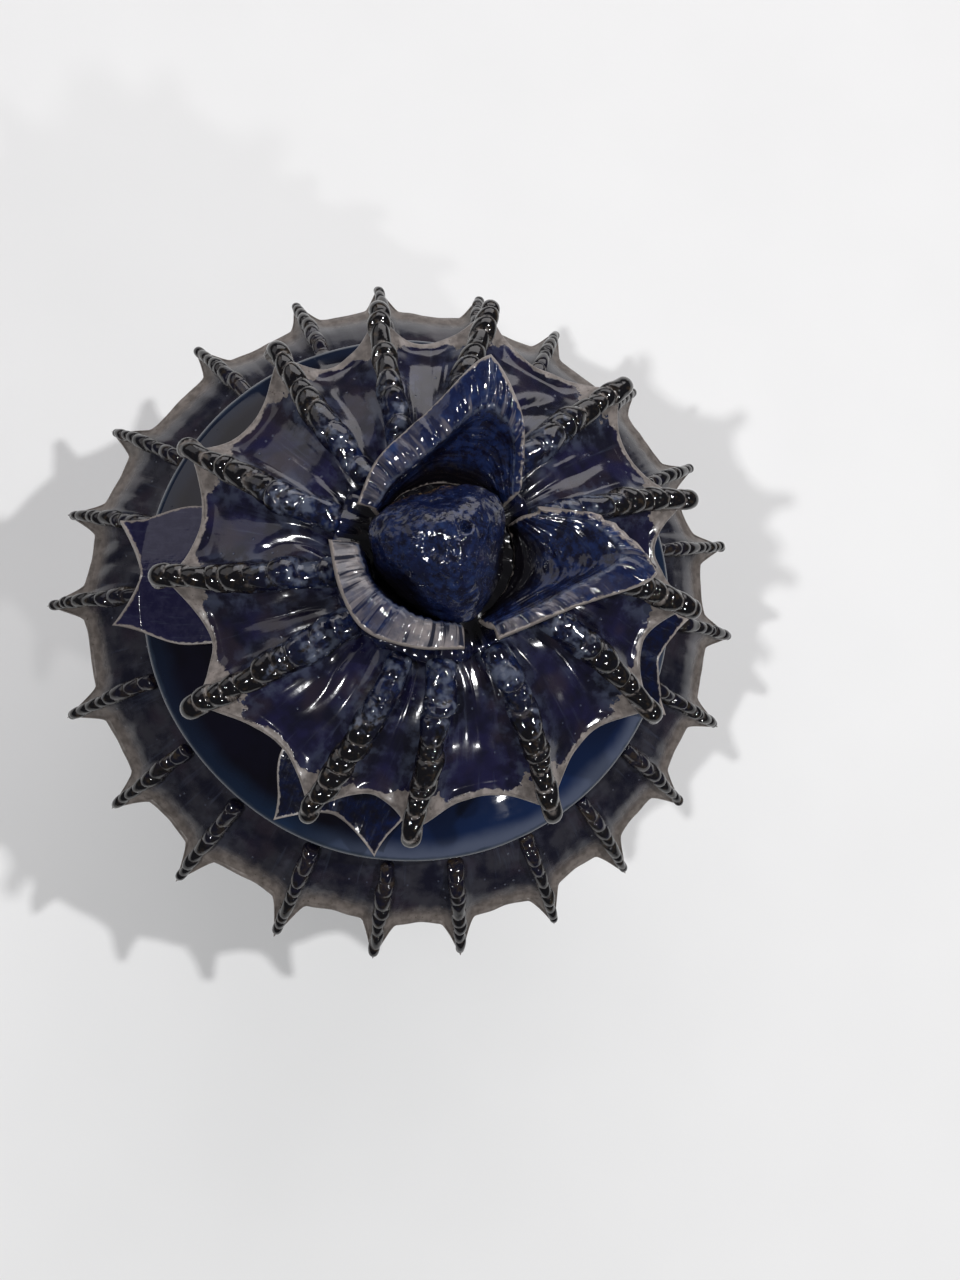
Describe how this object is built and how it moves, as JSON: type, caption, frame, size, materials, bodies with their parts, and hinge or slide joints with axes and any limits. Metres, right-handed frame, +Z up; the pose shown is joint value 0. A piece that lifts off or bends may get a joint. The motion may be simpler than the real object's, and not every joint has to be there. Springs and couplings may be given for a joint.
{
  "type": "lidded ceramic jar",
  "caption": "Round glazed pot with a drooping spiked frill round its shoulder and a lift-off lid whose knob is a spiked ruff with an open flower and bud.",
  "frame": {"origin": "centre of the foot, on the surface the jar stands on", "axes": "+Z up along the jar's axis; +X and +Y horizontal, with the widest petal pointing towards +X and the tallest towards +Y"},
  "size_m": [0.2033, 0.2009, 0.1944],
  "materials": {
    "cobalt_glaze": "thick glossy deep cobalt glaze, breaking brown on edges, bare buff clay at the foot",
    "frill_glaze": "glossy violet-navy glaze stopping in a ragged line before a bare pinkish-beige clay edge",
    "lid_glaze": "very smooth mirror-gloss near-black violet glaze, bluer where it pools by the rounded edge",
    "rope_glaze": "wet black-brown glossy glaze on overlapping clay scales with thin pale edges, blue near the root",
    "petal_glaze": "glossy mottled cobalt glaze over combed clay, pale worn edges",
    "bud_glaze": "mottled semi-gloss cobalt glaze with pits and tan flecks at the base"
  },
  "bodies": {
    "jar": {"jar_body": "cobalt_glaze", "shoulder_frill": "frill_glaze", "shoulder_rope_01": "rope_glaze", "shoulder_rope_02": "rope_glaze", "shoulder_rope_03": "rope_glaze", "shoulder_rope_04": "rope_glaze", "shoulder_rope_05": "rope_glaze", "shoulder_rope_06": "rope_glaze", "shoulder_rope_07": "rope_glaze", "shoulder_rope_08": "rope_glaze", "shoulder_rope_09": "rope_glaze", "shoulder_rope_10": "rope_glaze", "shoulder_rope_11": "rope_glaze", "shoulder_rope_12": "rope_glaze", "shoulder_rope_13": "rope_glaze", "shoulder_rope_14": "rope_glaze", "shoulder_rope_15": "rope_glaze", "shoulder_rope_16": "rope_glaze", "shoulder_rope_17": "rope_glaze", "shoulder_rope_18": "rope_glaze", "shoulder_rope_19": "rope_glaze", "shoulder_rope_20": "rope_glaze", "shoulder_rope_21": "rope_glaze", "shoulder_rope_22": "rope_glaze"},
    "lid": {"lid_dome": "lid_glaze", "lid_ring": "lid_glaze", "lid_leaf_01": "petal_glaze", "lid_leaf_02": "petal_glaze", "lid_leaf_03": "petal_glaze", "lid_leaf_04": "petal_glaze", "knob_stem": "cobalt_glaze", "crown_frill": "frill_glaze", "crown_rope_01": "rope_glaze", "crown_rope_02": "rope_glaze", "crown_rope_03": "rope_glaze", "crown_rope_04": "rope_glaze", "crown_rope_05": "rope_glaze", "crown_rope_06": "rope_glaze", "crown_rope_07": "rope_glaze", "crown_rope_08": "rope_glaze", "crown_rope_09": "rope_glaze", "crown_rope_10": "rope_glaze", "crown_rope_11": "rope_glaze", "crown_rope_12": "rope_glaze", "crown_rope_13": "rope_glaze", "flower_cup": "cobalt_glaze", "petal_back": "petal_glaze", "petal_right": "petal_glaze", "petal_front": "petal_glaze", "bud": "bud_glaze"}
  },
  "joints": [
    {"name": "lid_lift", "type": "slide", "parent": "jar", "child": "lid", "axis": [0, 0, 1], "range_m": [0, 0.1]}
  ]
}
